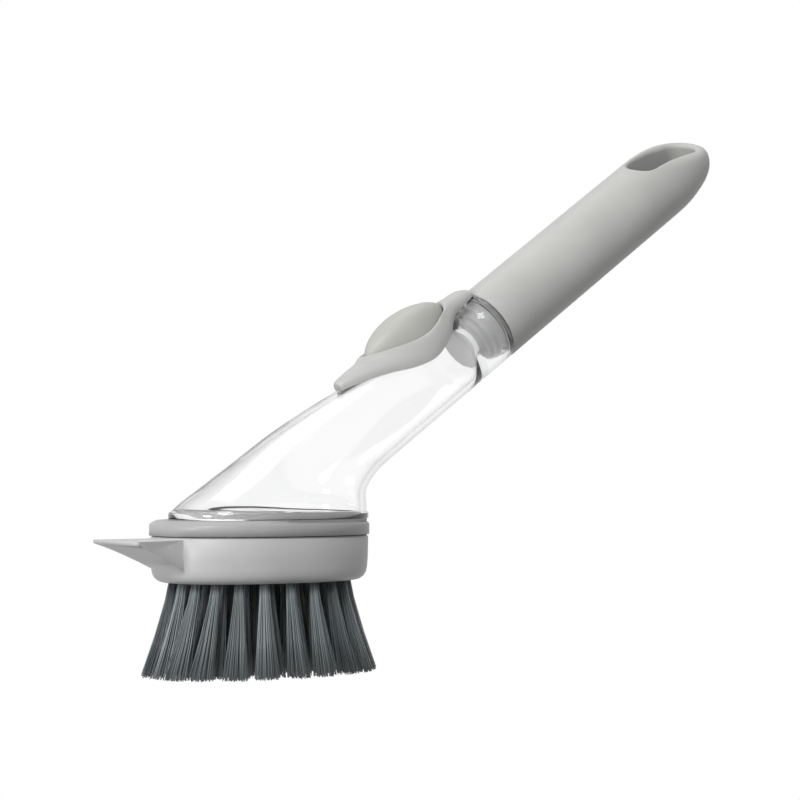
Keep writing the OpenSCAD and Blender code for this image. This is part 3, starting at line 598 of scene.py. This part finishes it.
# A strand is four square rings from its root to its tip, and leans out as a power of the way down
level = np.array([0.0, 0.3, 0.65, 1.0])
ring_count, corner_count = len(level), 4
lean = root[:, None] + (tip - root)[:, None] * (level ** BEND)[None, :, None]
height = SLICE_Z + ROOT_GAP + (tip_z[:, None] - SLICE_Z - ROOT_GAP) * level
centre = np.concatenate([lean, height[..., None]], -1)
corner = np.arange(corner_count) * math.pi / 2
square = np.stack([np.cos(corner), np.sin(corner), 0 * corner], -1)
strand_points = (centre[:, :, None] + strand_r[:, None, None, None] * square).reshape(-1, 3)
i, k = np.meshgrid(np.arange(ring_count - 1) * corner_count, np.arange(corner_count), indexing="ij")
k2 = (k + 1) % corner_count
side = np.stack([i + k, i + corner_count + k, i + corner_count + k2, i + k2], -1).reshape(-1, 4)
per_strand = ring_count * corner_count
one = np.vstack([side, np.arange(corner_count), per_strand - 1 - np.arange(corner_count)])
strand_faces = (one[None] + per_strand * np.arange(len(root))[:, None, None]).reshape(-1, 4)
mesh = bpy.data.meshes.new("nylon_tufts")
mesh.from_pydata((strand_points * MM).tolist(), [], strand_faces.tolist())
worn = mesh.attributes.new("tone", "FLOAT", "POINT")
worn.data.foreach_set("value", np.repeat(tone, per_strand).astype(np.float32))
nylon_tufts = smooth_piece("nylon_tufts", mesh)

# Each strand has its own tone of slate, from the attribute
nylon = bpy.data.materials.new("slate_nylon")
nylon.use_nodes = True
nodes, links = nylon.node_tree.nodes, nylon.node_tree.links
nylon_shader = nodes["Principled BSDF"]
nylon_shader.inputs["Roughness"].default_value = 0.34
nylon_shader.inputs["Specular IOR Level"].default_value = 0.6
worn_tone = nodes.new("ShaderNodeAttribute")
worn_tone.attribute_name = "tone"
slate = colour_ramp(nodes, (0.06, 0.074, 0.08), (0.3, 0.335, 0.345))
links.new(worn_tone.outputs["Fac"], slate.inputs["Fac"])
links.new(slate.outputs["Color"], nylon_shader.inputs["Base Color"])
dress(nylon_tufts, nylon, "head", "bristle_dark", "bristles")

# The studio is a white sweep: the floor and the world are white to the camera, through the clear tube and in
# gloss. For all other light they are a plain grey, and three soft lamps light the object.
scene = bpy.context.scene
scene.view_settings.view_transform = "Standard"


def soft_lamp(name, place, aim, power, size):
    """Square area lamp at a place in metres, turned towards a point, with its power in watts."""
    data = bpy.data.lights.new(name, "AREA")
    data.energy, data.size, data.shape = power, size, "SQUARE"
    lamp = bpy.data.objects.new(name, data)
    lamp.location = place
    gap = np.array(aim) - np.array(place)
    lean_down = math.acos(-gap[2] / np.linalg.norm(gap))
    lamp.rotation_euler = (lean_down, 0, math.atan2(gap[1], gap[0]) - math.pi / 2)
    scene.collection.objects.link(lamp)


soft_lamp("key_lamp", (-0.85, -0.7, 0.85), (0.05, 0, 0.08), 11.5, 0.5)
soft_lamp("side_lamp", (-0.9, -0.25, 0.13), (-0.02, 0, 0.06), 3.2, 0.25)
soft_lamp("top_lamp", (0.15, 0.35, 1.1), (0.05, 0, 0.1), 2.2, 0.7)


def seen_rays(tree):
    """Socket that is 1 for a ray from the camera, through clear plastic or off gloss, and 0 for any other:
    the greatest of the three flags."""
    path = tree.nodes.new("ShaderNodeLightPath")
    greatest = path.outputs["Is Camera Ray"]
    for flag in ("Is Transmission Ray", "Is Glossy Ray"):
        either = tree.nodes.new("ShaderNodeMath")
        either.operation = "MAXIMUM"
        tree.links.new(greatest, either.inputs[0])
        tree.links.new(path.outputs[flag], either.inputs[1])
        greatest = either.outputs["Value"]
    return greatest


world = bpy.data.worlds.new("white_sweep")
world.use_nodes = True
scene.world = world
nodes, links = world.node_tree.nodes, world.node_tree.links
backdrop = nodes["Background"]
backdrop.inputs["Color"].default_value = (1, 1, 1, 1)
strength = nodes.new("ShaderNodeMapRange")
strength.inputs["To Min"].default_value = 0.27
strength.inputs["To Max"].default_value = 1.0
links.new(seen_rays(world.node_tree), strength.inputs["Value"])
links.new(strength.outputs["Result"], backdrop.inputs["Strength"])

FLOOR_HALF = 3.0
floor_mesh = bpy.data.meshes.new("floor")
floor_corners = [(FLOOR_HALF * x, FLOOR_HALF * y, 0) for x, y in ((-1, -1), (1, -1), (1, 1), (-1, 1))]
floor_mesh.from_pydata(floor_corners, [], [(0, 1, 2, 3)])
floor = bpy.data.objects.new("floor", floor_mesh)
scene.collection.objects.link(floor)
paper = bpy.data.materials.new("white_paper")
paper.use_nodes = True
nodes, links = paper.node_tree.nodes, paper.node_tree.links
paper_shader = nodes["Principled BSDF"]
paper_shader.inputs["Base Color"].default_value = (0.32, 0.32, 0.32, 1)
paper_shader.inputs["Roughness"].default_value = 0.9
glow = nodes.new("ShaderNodeEmission")
blend = nodes.new("ShaderNodeMixShader")
links.new(seen_rays(paper.node_tree), blend.inputs["Fac"])
links.new(paper_shader.outputs["BSDF"], blend.inputs[1])
links.new(glow.outputs["Emission"], blend.inputs[2])
links.new(blend.outputs["Shader"], nodes["Material Output"].inputs["Surface"])
floor_mesh.materials.append(paper)

# The camera has a long lens, stands low before the wand, a little to the nose's side, and looks slightly up.
# Its place and turn were fitted to the outline of the real one, with the handle taken as 28 mm thick.
camera_data = bpy.data.cameras.new("camera")
camera_data.sensor_width = 36
camera_data.lens = 92.8
camera = bpy.data.objects.new("camera", camera_data)
camera.location = (-0.3491, -0.6011, 0.0672)
camera.rotation_euler = (math.radians(91.99), math.radians(-0.05), math.radians(-34))
scene.collection.objects.link(camera)
scene.camera = camera
